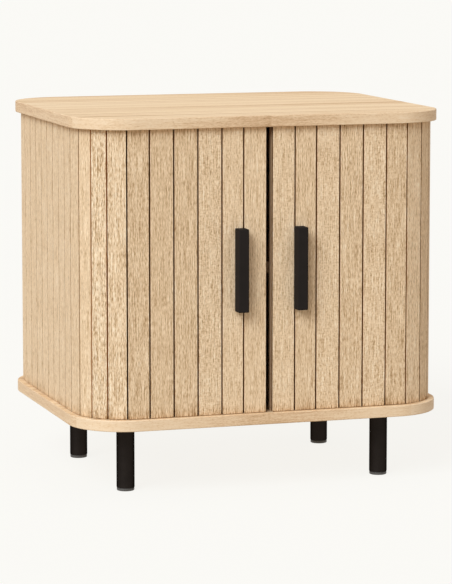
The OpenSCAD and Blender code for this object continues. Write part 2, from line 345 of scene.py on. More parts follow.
def rodCutter(radius, start, end, steps=32):
    bm = newGrainMesh()
    axis = Vector(end) - Vector(start)
    addTurned(bm, [(radius, 0), (radius, axis.length)], start, axis, steps)
    return cutterFrom(bm)


# making materials

def paint(red, green, blue):
    # a screen colour as the linear colour that Blender's sockets take
    def linear(value):
        value /= 255
        return value / 12.92 if value <= 0.04045 else ((value + 0.055) / 1.055) ** 2.4
    return (linear(red), linear(green), linear(blue), 1)


def emptyTree(data, outputKind):
    data.use_nodes = True
    data.node_tree.nodes.clear()
    return data.node_tree, data.node_tree.nodes.new(outputKind)


def newMaterial(name):
    material = bpy.data.materials.new(name)
    tree, output = emptyTree(material, "ShaderNodeOutputMaterial")
    shader = tree.nodes.new("ShaderNodeBsdfPrincipled")
    tree.links.new(shader.outputs[0], output.inputs[0])
    return material, tree, shader


def wire(tree, value, socket):
    if isinstance(value, bpy.types.NodeSocket):
        tree.links.new(value, socket)
    else:
        socket.default_value = value


def calc(tree, operation, a, b=0.0, clamp=False):
    step = tree.nodes.new("ShaderNodeMath")
    step.operation = operation
    step.use_clamp = clamp
    wire(tree, a, step.inputs[0])
    wire(tree, b, step.inputs[1])
    return step.outputs[0]


def blend(tree, first, second, share):
    # share is how much of the second goes in
    return calc(tree, "ADD", calc(tree, "MULTIPLY", first, 1 - share), calc(tree, "MULTIPLY", second, share))


def noiseOf(tree, place, scale, detail=2.0, roughness=0.5):
    stretch = tree.nodes.new("ShaderNodeMapping")
    stretch.inputs["Scale"].default_value = scale
    tree.links.new(place, stretch.inputs["Vector"])
    step = tree.nodes.new("ShaderNodeTexNoise")
    step.inputs["Scale"].default_value = 1
    step.inputs["Detail"].default_value = detail
    step.inputs["Roughness"].default_value = roughness
    tree.links.new(stretch.outputs[0], step.inputs["Vector"])
    return step.outputs["Fac"]


def streaks(tree, grain, wide, long, detail=1.0, roughness=0.5):
    # noise drawn out along the grain
    return noiseOf(tree, grain, (1 / wide, 1 / long, 1), detail, roughness)


def spread(tree, value, low, high, newLow=0.0, newHigh=1.0):
    step = tree.nodes.new("ShaderNodeMapRange")
    step.clamp = True
    for name, number in (("From Min", low), ("From Max", high), ("To Min", newLow), ("To Max", newHigh)):
        step.inputs[name].default_value = number
    tree.links.new(value, step.inputs["Value"])
    return step.outputs[0]


def rampOf(tree, value, stops):
    step = tree.nodes.new("ShaderNodeValToRGB")
    ramp = step.color_ramp
    while len(ramp.elements) < len(stops):
        ramp.elements.new(0.5)
    for element, (position, colour) in zip(ramp.elements, stops):
        element.position = position
        element.color = paint(*colour)
    tree.links.new(value, step.inputs[0])
    return step.outputs[0]


def bumpOf(tree, height, distance):
    step = tree.nodes.new("ShaderNodeBump")
    step.inputs["Distance"].default_value = distance
    tree.links.new(height, step.inputs["Height"])
    return step.outputs[0]


def cornerData(tree, name):
    # what newGrainMesh's layers hold
    source = tree.nodes.new("ShaderNodeAttribute")
    source.attribute_name = name
    return source.outputs["Vector"]


def partsOf(tree, vector):
    split = tree.nodes.new("ShaderNodeSeparateXYZ")
    tree.links.new(vector, split.inputs[0])
    return split.outputs[:]


woodLook = {
    "layerRoughness": 0.55,     # of the noise in each layer of the grain
    "poreFade": 0.08,           # how softly a pore ends
    "poreDepth": 0.35,          # beside the fibres
}


def wandering(tree, place, look):
    # the grain wanders a little sideways as it runs
    amount, wide, long = look["wander"]
    sway = tree.nodes.new("ShaderNodeCombineXYZ")
    tree.links.new(calc(tree, "MULTIPLY", streaks(tree, place, wide, long), amount), sway.inputs[0])
    bent = tree.nodes.new("ShaderNodeVectorMath")
    tree.links.new(place, bent.inputs[0])
    tree.links.new(sway.outputs[0], bent.inputs[1])
    return bent.outputs[0]


def oakMaterial(name, look):
    # light wood: fibres, flecks, slow figure and pores, all laid by the mesh's own grain place
    material, tree, shader = newMaterial(name)
    if look.get("byObject"):
        place = tree.nodes.new("ShaderNodeTexCoord").outputs["Object"]
        tone, figure, ripple = 0.0, 1.0, 0.0
    else:
        place = cornerData(tree, "grain")
        tone, figure, ripple = partsOf(tree, cornerData(tree, "toneAndShade"))
    grain = wandering(tree, place, look)

    def layer(wide, long, amount, detail, roughness):
        centred = calc(tree, "SUBTRACT", streaks(tree, grain, wide, long, detail, roughness), 0.5)
        return calc(tree, "MULTIPLY", centred, amount)

    relief = 0.0
    for wide, long, amount, detail in look["layers"]:
        relief = calc(tree, "ADD", relief, layer(wide, long, amount, detail, woodLook["layerRoughness"]))
    if look.get("ripple"):      # short waves across the grain on some boards
        wide, long, amount = look["ripple"]
        waves = layer(wide, long, calc(tree, "MULTIPLY", ripple, amount), 1.0, 0.5)
        relief = calc(tree, "ADD", relief, waves)
    relief = calc(tree, "MULTIPLY", relief, figure)
    poreWide, poreLong, poreDark, poreFrom = look["pores"]
    pores = spread(tree, streaks(tree, grain, poreWide, poreLong), poreFrom, poreFrom + woodLook["poreFade"])
    value = calc(tree, "SUBTRACT", relief, calc(tree, "MULTIPLY", pores, poreDark))
    value = calc(tree, "ADD", calc(tree, "ADD", value, 0.5), tone, clamp=True)
    height = calc(tree, "SUBTRACT", relief, calc(tree, "MULTIPLY", pores, woodLook["poreDepth"]))
    tree.links.new(rampOf(tree, value, look["tones"]), shader.inputs["Base Color"])
    tree.links.new(bumpOf(tree, height, look["relief"]), shader.inputs["Normal"])
    tree.links.new(spread(tree, value, 0, 1, *look["gloss"]), shader.inputs["Roughness"])
    shader.inputs["Specular IOR Level"].default_value = look["shine"]
    return material


noiseEnds = (0.3, 0.7)      # most of a noise lies between these


def coatedMetal(name, look):
    # a thin coat on metal: fine orange peel and small changes of gloss
    material, tree, shader = newMaterial(name)
    place = tree.nodes.new("ShaderNodeTexCoord").outputs["Object"]
    peel = noiseOf(tree, place, (1 / look["grainSize"],) * 3)
    cloud = noiseOf(tree, place, (1 / look["cloudSize"],) * 3)
    stops = list(zip(noiseEnds, look["tones"]))
    tree.links.new(rampOf(tree, blend(tree, peel, cloud, 0.5), stops), shader.inputs["Base Color"])
    tree.links.new(spread(tree, cloud, *noiseEnds, *look["gloss"]), shader.inputs["Roughness"])
    tree.links.new(bumpOf(tree, peel, look["relief"]), shader.inputs["Normal"])
    shader.inputs["Metallic"].default_value = look["metal"]
    rim = look.get("rim", (1, 1, 1))        # what a metal shows at a grazing angle
    shader.inputs["Specular Tint"].default_value = (*rim, 1)
    shader.inputs["Specular IOR Level"].default_value = look["shine"]
    return material


def wovenCloth(name, look):
    # plain weave: two crossing sets of threads, over and under each other
    material, tree, shader = newMaterial(name)
    place = cornerData(tree, "grain")
    turns = math.pi / look["thread"]
    waves = [calc(tree, "SINE", calc(tree, "MULTIPLY", run, turns)) for run in partsOf(tree, place)[:2]]
    threads = calc(tree, "ADD", calc(tree, "MULTIPLY", calc(tree, "MULTIPLY", *waves), 0.5), 0.5)
    slub = streaks(tree, place, *look["slub"], 3.0)
    stops = list(zip(look["toneEnds"], look["tones"]))
    colour = rampOf(tree, blend(tree, threads, slub, look["slubShare"]), stops)
    tree.links.new(colour, shader.inputs["Base Color"])
    tree.links.new(bumpOf(tree, threads, look["relief"]), shader.inputs["Normal"])
    shader.inputs["Roughness"].default_value = look["roughness"]
    shader.inputs["Specular IOR Level"].default_value = look["shine"]
    return material


# Woods. layers are (across, along, amount, detail), pores (across, along, darkness, how rare) and
# wander (amount, across, along); gloss is the roughness of the darkest and of the lightest wood.

oakTones = {
    "top": [(0.0, (166, 125, 84)), (0.3, (216, 179, 138)), (0.5, (238, 208, 169)), (1.0, (254, 232, 200))],
    "edge": [(0.0, (158, 118, 76)), (0.3, (214, 177, 138)), (0.5, (236, 205, 168)), (1.0, (254, 233, 206))],
    "slat": [(0.0, (162, 126, 87)), (0.25, (203, 169, 129)), (0.5, (230, 199, 161)),
             (0.75, (249, 219, 183)), (1.0, (255, 236, 207))],
    "core": [(0.0, (96, 60, 32)), (0.3, (174, 124, 74)), (0.5, (230, 181, 127)), (1.0, (242, 202, 154))],
    "stileEdge": [(0.0, (120, 88, 60)), (0.3, (176, 138, 102)),
                  (0.5, (204, 167, 128)), (1.0, (226, 193, 156))],
    "inside": [(0.0, (120, 84, 54)), (0.3, (190, 152, 112)), (0.5, (212, 178, 140)), (1.0, (236, 210, 176))],
    "beech": [(0.0, (176, 128, 88)), (0.3, (206, 160, 116)), (0.5, (220, 178, 136)), (1.0, (236, 204, 168))],
}
topOak = oakMaterial("topOak", {
    "layers": [(180 * mm, 500 * mm, 0.35, 1.0), (14 * mm, 1100 * mm, 1.0, 1.0),
               (6 * mm, 400 * mm, 0.45, 2.0), (1 * mm, 40 * mm, 0.4, 2.0)],
    "pores": (0.4 * mm, 6 * mm, 0.22, 0.62),
    "wander": (14 * mm, 90 * mm, 420 * mm),
    "tones": oakTones["top"], "relief": 0.1 * mm, "gloss": (0.75, 0.65), "shine": 0.1})
edgeOak = oakMaterial("edgeOak", {
    "layers": [(8 * mm, 500 * mm, 0.35, 1.0), (1.6 * mm, 30 * mm, 0.5, 2.0), (1.2 * mm, 5 * mm, 0.5, 2.0)],
    "pores": (0.5 * mm, 4 * mm, 0.2, 0.62),
    "wander": (4 * mm, 60 * mm, 200 * mm),
    "tones": oakTones["edge"], "relief": 0.1 * mm, "gloss": (0.65, 0.52), "shine": 0.3})
slatOak = oakMaterial("slatOak", {
    "layers": [(0.9 * mm, 7 * mm, 1.6, 2.0), (1.0 * mm, 45 * mm, 1.6, 2.0), (7 * mm, 80 * mm, 0.25, 1.0)],
    "ripple": (4 * mm, 2.2 * mm, 0.6),
    "pores": (0.45 * mm, 6 * mm, 0.12, 0.62),
    "wander": (4 * mm, 14 * mm, 50 * mm),
    "tones": oakTones["slat"], "relief": 0.25 * mm, "gloss": (0.8, 0.6), "shine": 0.25})
slatCore = oakMaterial("slatCore", {
    "layers": [(2 * mm, 30 * mm, 0.4, 2.0), (0.6 * mm, 3 * mm, 0.4, 2.0)],
    "pores": (0.4 * mm, 3 * mm, 0.1, 0.6),
    "wander": (2 * mm, 14 * mm, 50 * mm),
    "tones": oakTones["core"], "relief": 0.1 * mm, "gloss": (0.9, 0.8), "shine": 0.0})
# painted shade: a darker copy of the slat oak, for the stile's faces in the door gap
stileEdgeShadedOak = oakMaterial("stileEdgeShadedOak", {
    "layers": [(2 * mm, 40 * mm, 0.5, 2.0), (0.7 * mm, 8 * mm, 0.5, 2.0)],
    "pores": (0.4 * mm, 4 * mm, 0.15, 0.6),
    "wander": (2 * mm, 14 * mm, 50 * mm),
    "tones": oakTones["stileEdge"], "relief": 0.1 * mm, "gloss": (0.8, 0.7), "shine": 0.15})
insideOak = oakMaterial("insideOak", {
    "layers": [(14 * mm, 500 * mm, 0.35, 1.0), (3 * mm, 120 * mm, 0.3, 2.0), (1.1 * mm, 30 * mm, 0.3, 2.0)],
    "pores": (0.5 * mm, 5 * mm, 0.25, 0.62),
    "wander": (8 * mm, 60 * mm, 300 * mm),
    "tones": oakTones["inside"], "relief": 0.1 * mm, "gloss": (0.65, 0.55), "shine": 0.3})
beechWood = oakMaterial("beechWood", {
    "layers": [(4 * mm, 60 * mm, 0.3, 1.0), (0.8 * mm, 8 * mm, 0.3, 2.0)], "byObject": True,
    "pores": (0.4 * mm, 2 * mm, 0.25, 0.6),
    "wander": (1 * mm, 30 * mm, 60 * mm),
    "tones": oakTones["beech"], "relief": 0.05 * mm, "gloss": (0.6, 0.5), "shine": 0.3})

# Metals, glides and cloth. tones are the darker and the lighter one.

handleBlack = coatedMetal("handleBlack", {
    "grainSize": 0.5 * mm, "cloudSize": 14 * mm, "tones": ((38, 34, 32), (44, 39, 37)),
    "gloss": (0.6, 0.68), "relief": 0.02 * mm, "metal": 0.0, "shine": 0.02})
legBlack = coatedMetal("legBlack", {
    "grainSize": 0.5 * mm, "cloudSize": 18 * mm, "tones": ((36, 32, 29), (46, 40, 37)),
    "gloss": (0.5, 0.56), "relief": 0.02 * mm, "metal": 0.8, "rim": (0.01, 0.01, 0.01), "shine": 0.02})
glideGrey = coatedMetal("glideGrey", {
    "grainSize": 0.8 * mm, "cloudSize": 9 * mm, "tones": ((72, 69, 66), (90, 86, 83)),
    "gloss": (0.45, 0.55), "relief": 0.03 * mm, "metal": 0.0, "shine": 0.4})
zincMetal = coatedMetal("zincMetal", {
    "grainSize": 1.2 * mm, "cloudSize": 6 * mm, "tones": ((132, 134, 140), (176, 178, 182)),
    "gloss": (0.32, 0.46), "relief": 0.02 * mm, "metal": 0.9, "shine": 0.5})
screwMetal = coatedMetal("screwMetal", {
    "grainSize": 0.4 * mm, "cloudSize": 3 * mm, "tones": ((168, 169, 173), (202, 203, 206)),
    "gloss": (0.22, 0.34), "relief": 0.01 * mm, "metal": 0.95, "shine": 0.5})
brownCanvas = wovenCloth("brownCanvas", {
    "thread": 1.1 * mm, "slub": (1.2 * mm, 6 * mm), "slubShare": 0.55,
    "tones": ((132, 82, 42), (192, 130, 74)), "toneEnds": (0.2, 0.8),
    "relief": 0.15 * mm, "roughness": 0.9, "shine": 0.05})
print("materials made")


# slabs: a rounded board with eased edges, an edge band and the running grooves

slabLook = {
    "arris": 1.1 * mm,
    "arrisSteps": 4,
    "held": 0.5 * mm,               # a narrow ring beside each arris keeps the soft shading there
    "cornerSteps": 24,
    "straightStep": 45 * mm,
    # where the band's lengths meet, in degrees along the left corner from the side and along the
    # right corner from the front, and how much lighter or darker each is: left, front, right
    "top": {"joints": (15, 24), "tones": (-0.07, -0.05, 0.08), "seed": 81.3},
    "bottom": {"joints": (19, 15), "tones": (-0.05, -0.03, 0.1), "seed": 11.0},
    "bandSeed": 3,
    # painted light and shade along the front length: highlights towards its ends, shade in a dip
    "bandHighlights": (0.13, 0.06),               # the front length is lighter at its left and right ends
    "bandShadeDip": (0.2, 10 * mm, 130 * mm),    # and darker by this much, here and this far to each side
}


def slabStations(radius):
    # points round the slab as (arc centre, outward normal), split where the grooves stop
    x, y = halfWide - radius, halfDeep - radius
    rightFront, rightBack = Vector((x, -y)), Vector((x, y))
    leftBack, leftFront = Vector((-x, y)), Vector((-x, -y))
    middleFront = Vector((0, -y))
    webFront, webBack = slabMeasures["webFront"], slabMeasures["webBack"]
    stations = []

    def straight(start, end, normal, *stops):
        length = (end - start).length
        count = max(1, round(length / slabLook["straightStep"]))
        shares = {i / count for i in range(count)} | {stop / length for stop in stops}
        for share in sorted(shares):
            stations.append((start.lerp(end, share), Vector(normal)))

    def corner(centre, fromAngle):
        steps = slabLook["cornerSteps"]
        for i in range(steps):
            angle = math.radians(fromAngle + 90 * i / steps)
            stations.append((centre, Vector((math.cos(angle), math.sin(angle)))))

    straight(middleFront, rightFront, (0, -1), webFront)
    corner(rightFront, -90)
    straight(rightFront, rightBack, (1, 0))
    corner(rightBack, 0)
    straight(rightBack, leftBack, (0, 1), x - webBack, x + webBack)
    corner(leftBack, 90)
    straight(leftBack, leftFront, (-1, 0))
    corner(leftFront, 180)
    straight(leftFront, middleFront, (0, -1), x - webFront)
    return stations


def runsRound(points):
    # how far along a closed outline each point lies, with the whole way round at the end
    runs = [0.0]
    for here, after in zip(points, points[1:] + points[:1]):
        runs.append(runs[-1] + math.dist(here, after))
    return runs


def slabProfile(plainZ, workedZ):
    # from the plain face round the edge to the worked face: (inset, height, distance along the profile)
    arris, steps, held = slabLook["arris"], slabLook["arrisSteps"], slabLook["held"]
    away = 1 if plainZ > workedZ else -1
    turned = arris * math.pi / 2
    flat = abs(plainZ - workedZ) - 2 * arris
    angles = [math.pi / 2 * i / steps for i in range(steps + 1)]
    profile = [(arris + held, plainZ, -held)]
    for a in angles:
        profile.append((arris * (1 - math.sin(a)), plainZ - away * arris * (1 - math.cos(a)), arris * a))
    profile.append((0, plainZ - away * (arris + held), turned + held))
    profile.append((0, workedZ + away * (arris + held), turned + flat - held))
    for a in angles:
        height = workedZ + away * arris * (1 - math.sin(a))
        profile.append((arris * (1 - math.cos(a)), height, turned + flat + arris * a))
    profile.append((arris + held, workedZ, 2 * turned + flat + held))
    return profile


def bandPart(normal, joints):
    # which length of the edge band looks this way: -1 left, 0 front, 1 right
    angle = math.degrees(math.atan2(normal.x, -normal.y))
    return -1 if angle < -90 + joints[0] else 1 if angle > joints[1] else 0


def bandTone(x, part, tones):
    if part:
        return tones[part + 1]
    # on the front length: painted highlights towards the ends, painted shade in the dip
    share = x / halfWide / 2 + 0.5
    leftLift, rightLift = slabLook["bandHighlights"]
    dip, dipPlace, dipReach = slabLook["bandShadeDip"]
    lift = leftLift * (1 - share) + rightLift * share
    return tones[1] + lift - dip * max(0.0, 1 - ((x - dipPlace) / dipReach) ** 2)


def buildSlab(name, node, grooveUp, look):
    low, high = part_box(node)
    plainZ, workedZ = (low.z, high.z) if grooveUp else (high.z, low.z)
    sunkZ = workedZ + (-1 if grooveUp else 1) * slabMeasures["grooveDepth"]
    radius = slabMeasures["cornerRadius"]
    stations = slabStations(radius)
    outer = [centre + normal * radius for centre, normal in stations]
    runs = runsRound(outer)
    count = len(stations)
    bm = newGrainMesh()
    grain, toneAndShade = grainLayers(bm)

    def ring(inset, z):
        points = [centre + normal * (radius - inset) for centre, normal in stations]
        return [bm.verts.new((p.x, p.y + centreY, z)) for p in points]

    def layVeneer(*corners):
        # on the broad faces: the grain runs along the width
        for loop in bm.faces.new(corners).loops:
            co = loop.vert.co
            loop[grain] = (co.y, co.x, look["seed"])
            loop[toneAndShade] = (0, 1, 0)

    def layBand(corners, i, j, lower, upper):
        # on the edge: the grain runs round the slab
        part = bandPart(stations[i][1] + stations[j][1], look["joints"])
        start = runs[i], bandTone(outer[i].x, part, look["tones"])
        end = runs[i + 1], bandTone(outer[j].x, part, look["tones"])
        face = bm.faces.new(corners)
        face.material_index = 1
        places = [(lower, start), (lower, end), (upper, end), (upper, start)]
        for loop, (across, (along, tone)) in zip(face.loops, places):
            loop[grain] = (across, along, look["seed"] + slabLook["bandSeed"] + part)
            loop[toneAndShade] = (tone, 1, 0)

    profile = slabProfile(plainZ, workedZ)
    rings = [ring(inset, z) for inset, z, distance in profile]
    for k in range(len(rings) - 1):
        for i in range(count):
            j = (i + 1) % count
            corners = [rings[k][i], rings[k][j], rings[k + 1][j], rings[k + 1][i]]
            if 0 < k < len(rings) - 2:
                layBand(corners, i, j, profile[k][2], profile[k + 1][2])
            else:
                layVeneer(*corners)
    layVeneer(*rings[0])

    # worked face: a flat ring, then the grooves between their webs, then the middle
    near = slabMeasures["slatInset"] + slabMeasures["grooveNear"]
    far = near + slabMeasures["grooveWidth"]
    nearRing, farRing = ring(near, workedZ), ring(far, workedZ)
    nearSunk, farSunk = ring(near, sunkZ), ring(far, sunkZ)
    for i in range(count):
        j = (i + 1) % count
        layVeneer(rings[-1][i], rings[-1][j], nearRing[j], nearRing[i])
        normal = stations[i][1]
        isStraight = abs(normal.y) > 0.99
        web = slabMeasures["webFront" if normal.y < 0 else "webBack"]
        if isStraight and abs(outer[i].x + outer[j].x) / 2 < web:
            layVeneer(nearRing[i], nearRing[j], farRing[j], farRing[i])
        else:
            for a, b in ((nearRing, nearSunk), (nearSunk, farSunk), (farSunk, farRing)):
                layVeneer(a[i], a[j], b[j], b[i])
        if isStraight and abs(abs(outer[i].x) - web) < weldReach:      # the end wall of a groove
            layVeneer(nearRing[i], nearSunk[i], farSunk[i], farRing[i])
    layVeneer(*farRing)
    bmesh.ops.delete(bm, geom=[vert for vert in bm.verts if not vert.link_faces], context="VERTS")
    settle(finishPiece(name, bm, [topOak, edgeOak]), "carcass", node)


buildSlab("topBoard", "top_slab", False, slabLook["top"])
buildSlab("bottomBoard", "bottom_slab", True, slabLook["bottom"])
print("slabs built")


# slats: each its own board, its grain upright, no two alike

slatLook = {
    "frontRound": 0.35 * mm,
    "frontHeld": 0.4 * mm,          # narrow bands beside the rounded edges and ends keep the soft
    "endHeld": 0.8 * mm,            # shading there
    "backEase": 0.4 * mm,
    "endEase": 0.3 * mm,
    "endBulge": 0.35,
    "roundSteps": 4,
    # darker faces: painted shade on the leading edge of the first slat, which faces the gap between the
    # doors, and on the edges of the slats round the corner and along the side, where shade falls in the
    # joints, from this slat on the left and on the right; and the ends
    "leadingPaintedShade": 0.6,
    "sidePaintedShade": 0.36,
    "sideFrom": {-1: 10, 1: 7},
    "endShade": 0.2,
    # painted shade: a slat is darker towards its foot, where shade falls by the bottom slab: (height above
    # its end, how much)
    "paintedFootShade": [(0, 0.3), (4 * mm, 0.14), (16 * mm, 0)],
    # lighter and darker boards, counted from the middle, and boards with an open or a rippled grain
    "tones": {"left": [0.055, 0.075, 0.045, -0.015, -0.015, -0.045, 0.025, 0.03, 0.035, 0.05],
              "right": [0.08, 0.0, 0.07, -0.015, 0.05, -0.02, 0.1, 0.04]},
    "sideTone": 0.08,
    "toneSpread": 0.012,
    "open": {"left": {7: 1.35, 8: 1.7}, "right": {}},
    "openSpread": (0.9, 1.1),
    "rippled": {"left": {2: 0.7, 3: 1.0}, "right": {1: 0.8, 3: 1.0, 5: 0.9, 6: 0.5}},
    "ripplesElse": (0, 0.3),
    "endGrainSquash": 0.3,
    "seed": 4,
    "grainSeeds": {-1: 170, 1: 40},
    "grainSeedStep": 5.0,
}


def slatSection(width):
    # outline as (across, depth), starting at the front left, front face on depth 0
    gap, lean, thick = slatMeasures["gap"] / 2, slatMeasures["lean"], slatMeasures["thick"]
    r, ease, steps = slatLook["frontRound"], slatLook["backEase"], slatLook["roundSteps"]
    held = gap + r + slatLook["frontHeld"]
    angles = [math.pi / 2 * i / steps for i in range(steps + 1)]
    points = [(gap + r * (1 - math.cos(a)), r * (1 - math.sin(a))) for a in angles]
    points += [(held, 0), (width - held, 0)]
    points += [(width - gap - r * (1 - math.sin(a)), r * (1 - math.cos(a))) for a in angles]
    points += [(width - gap - lean, thick - ease), (width - gap - lean - ease, thick)]
    points += [(gap + lean + ease, thick), (gap + lean, thick - ease)]
    return points


# painted shade: how much darker a slat is at this height above its foot
def paintedFootShade(rise):
    steps = slatLook["paintedFootShade"]
    for (below, darkBelow), (above, darkAbove) in zip(steps, steps[1:]):
        if rise < above:
            return darkBelow + (darkAbove - darkBelow) * (rise - below) / (above - below)
    return 0.0


def addSlat(bm, number, side, looks):
    tone, figure, ripple = looks
    grain, toneAndShade = grainLayers(bm)
    place, width = slatFrame(number, side)
    outline = slatSection(width)
    around = runsRound(outline)
    count = len(outline)
    veneered = 2 * slatLook["roundSteps"] + 3        # the front and its rounded edges
    seed = slatLook["grainSeedStep"] * number + slatLook["grainSeeds"][side]
    ease = slatLook["endEase"]
    bulge, held = ease * slatLook["endBulge"], ease + slatLook["endHeld"]
    foot = [(0, ease), (bulge, bulge), (ease, 0), (held, 0)]
    levels = [(slatLow + rise, inset) for rise, inset in foot]
    levels += [(slatLow + rise, 0) for rise, shade in slatLook["paintedFootShade"] if rise > held]
    levels += [(slatHigh - rise, inset) for rise, inset in reversed(foot)]
    rings = []
    for z, inset in levels:
        ring = []
        for across, depth in outline:
            x = across + (inset if across < width / 2 else -inset)
            y = depth + (inset if depth < slatMeasures["thick"] / 2 else -inset)
            ring.append(bm.verts.new(place(x, y, z)))
        rings.append(ring)
    for k in range(len(rings) - 1):
        below, above = levels[k][0], levels[k + 1][0]
        for i in range(count):
            j = (i + 1) % count
            face = bm.faces.new([rings[k][i], rings[k][j], rings[k + 1][j], rings[k + 1][i]])
            face.material_index = 0 if i < veneered else 1
            # painted shade: the first slat's leading edge and the side slats' edges are darker, standing in
            # for the shade of the gap and the joints
            shade = slatLook["leadingPaintedShade"] if number == 1 and j == 0 else 0
            if i >= veneered and number >= slatLook["sideFrom"][side]:
                shade = slatLook["sidePaintedShade"]
            places = [(around[i], below), (around[i + 1], below), (around[i + 1], above), (around[i], above)]
            for loop, (across, along) in zip(face.loops, places):
                loop[grain] = (across, along, seed)
                loop[toneAndShade] = (tone - shade - paintedFootShade(along - slatLow), figure, ripple)
    for ring in (rings[0], rings[-1]):
        for loop, (across, depth) in zip(bm.faces.new(ring).loops, outline):
            loop[grain] = (across, depth * slatLook["endGrainSquash"], seed + blockLook["endSeed"])
            loop[toneAndShade] = (tone - slatLook["endShade"], figure, 0)


# slats that move together, by the names of their bodies
sideGroup = [11, 12, 13, 14]
slatGroups = {"lead": [1, 2], "side": sideGroup}
for number in range(3, lastSlat + 1):
    if number not in sideGroup:
        slatGroups[f"slat_{number:02d}"] = [number]
pick = random.Random(slatLook["seed"])


def slatFinish(sideName, number):
    tones = slatLook["tones"][sideName]
    drift = pick.uniform(-1, 1) * slatLook["toneSpread"]
    tone = drift + (tones[number - 1] if number <= len(tones) else slatLook["sideTone"])
    figure = slatLook["open"][sideName].get(number, pick.uniform(*slatLook["openSpread"]))
    ripple = slatLook["rippled"][sideName].get(number, pick.uniform(*slatLook["ripplesElse"]))
    return tone, figure, ripple


for sideName, side in sideNames.items():
    looks = {number: slatFinish(sideName, number) for number in range(1, lastSlat + 1)}
    for group, numbers in slatGroups.items():
        bm = newGrainMesh()
        for number in numbers:
            addSlat(bm, number, side, looks[number])
        node = {"lead": "lead_slats", "side": "side_slats"}.get(group, group)
        piece = finishPiece(f"{sideName}_{node}_wood", bm, [slatOak, slatCore])
        settle(piece, f"{sideName}_door_{group}", f"{sideName}_{node}")
print("slats built")


# canvas: one strip glued to the back of each slat, with a bead at each end in the grooves

canvasLook = {
    "glue": 0.1 * mm,
    "thick": 0.8 * mm,
    "beadThick": 3 * mm,
    "beadChamfer": 0.8 * mm,
    "beadRound": 0.5 * mm,
    "reach": 4 * mm,            # into the groove
    "overhang": 0.7 * mm,       # past the slat's back, towards the next strip
    "flap": 12 * mm,            # under the stile
    "sharp": 40,
}


def addCanvasStrip(bm, number, side, flap=None):
    place, width = slatFrame(number, side)
    edge = slatMeasures["gap"] / 2 + slatMeasures["lean"] - canvasLook["overhang"]
    start, end = edge if flap is None else width - flap, width - edge
    near = slatMeasures["thick"] + canvasLook["glue"]
    thin, fat = near + canvasLook["thick"], near + canvasLook["beadThick"]
    chamfer, soft = canvasLook["beadChamfer"], canvasLook["beadRound"]
    foot = -canvasLook["reach"]
    top = -2 * canvasLook["glue"]
    # side view of one end: (depth, rise above the slab's face), then the same upside down
    bead = [(near, foot), (fat - chamfer, foot), (fat, foot + chamfer)]
    bead += [(fat, top - soft), (fat - soft, top), (thin, top)]
    if flap is not None:
        bead = [(near, slatMeasures["endGap"]), (thin, slatMeasures["endGap"])]
    outline = [(depth, floorOfSpace + rise) for depth, rise in bead]
    outline += [(depth, roofOfSpace - rise) for depth, rise in reversed(bead)]
    rings = [[bm.verts.new(place(across, depth, z)) for depth, z in outline] for across in (start, end)]
    made = [bm.faces.new(rings[0]), bm.faces.new(rings[1])]
    for i in range(len(outline)):
        j = (i + 1) % len(outline)
        made.append(bm.faces.new([rings[0][i], rings[0][j], rings[1][j], rings[1][i]]))
    grain, toneAndShade = grainLayers(bm)
    for face in made:
        for loop in face.loops:
            across = start if loop.vert in rings[0] else end
            loop[grain] = (slatEnds[number] + across, loop.vert.co.z, number)
            loop[toneAndShade] = (0, 1, 0)


for sideName, side in sideNames.items():
    for group, numbers in slatGroups.items():
        bm = newGrainMesh()
        if group == "lead":
            addCanvasStrip(bm, numbers[-1], side, canvasLook["flap"])
        else:
            for number in numbers:
                addCanvasStrip(bm, number, side)
        piece = finishPiece(f"{sideName}_{group}_canvas", bm, [brownCanvas], canvasLook["sharp"])
        settle(piece, f"{sideName}_door_{group}", f"{sideName}_canvas")
print("canvas strips built")


# screws: a domed head with a cross recess, and a shank the other way

screwLook = {
    "steps": 32,
    "domeSteps": 5,
    "rimTall": 0.45,                # shares of the head's height
    "rimFoot": 0.05,
    "underside": 0.97,              # shares of the head's radius
    "crossLong": 0.55,
    "crossSlim": 0.12,
    # the recess tapers: (share of the head's height, scale)
    "crossTaper": ((0.35, 0.6), (1.5, 1.15)),
    "sharp": 40,
}


def screwPiece(name, places, axis, head, shankLength):
    radius, tall, shank = head
    rim = screwLook["rimTall"]
    profile = [(0, tall)]
    for i in range(1, screwLook["domeSteps"] + 1):
        a = math.pi / 2 * i / screwLook["domeSteps"]
        profile.append((radius * math.sin(a), tall * (rim + (1 - rim) * math.cos(a))))
    profile += [(radius, screwLook["rimFoot"] * tall), (radius * screwLook["underside"], 0)]
    profile += [(shank, 0), (shank, -shankLength)]
    bm = newGrainMesh()
    for place in places:
        addTurned(bm, profile[::-1], place, axis, screwLook["steps"])
    piece = finishPiece(name, bm, [screwMetal], screwLook["sharp"])
    return carve(piece, [crossCutter(places, axis, radius, tall)])


def crossCutter(places, axis, radius, tall):
    # one tapering plus for each head
    axis = Vector(axis)
    side = axis.orthogonal().normalized()
    other = axis.cross(side)
    long, slim = radius * screwLook["crossLong"], radius * screwLook["crossSlim"]
    outline = [(long, slim), (slim, slim), (slim, long)]
    for i in range(9):
        x, y = outline[i]
        outline.append((-y, x))
    count = len(outline)
    bm = newGrainMesh()
    for place in places:
        rings = []
        for height, scale in screwLook["crossTaper"]:
            centre = Vector(place) + axis * tall * height
            rings.append([bm.verts.new(centre + (side * a + other * b) * scale) for a, b in outline])
        for i in range(count):
            j = (i + 1) % count
            bm.faces.new([rings[0][i], rings[0][j], rings[1][j], rings[1][i]])
        bm.faces.new(rings[0])
        bm.faces.new(rings[1])
    return cutterFrom(bm)


# stiles and handles

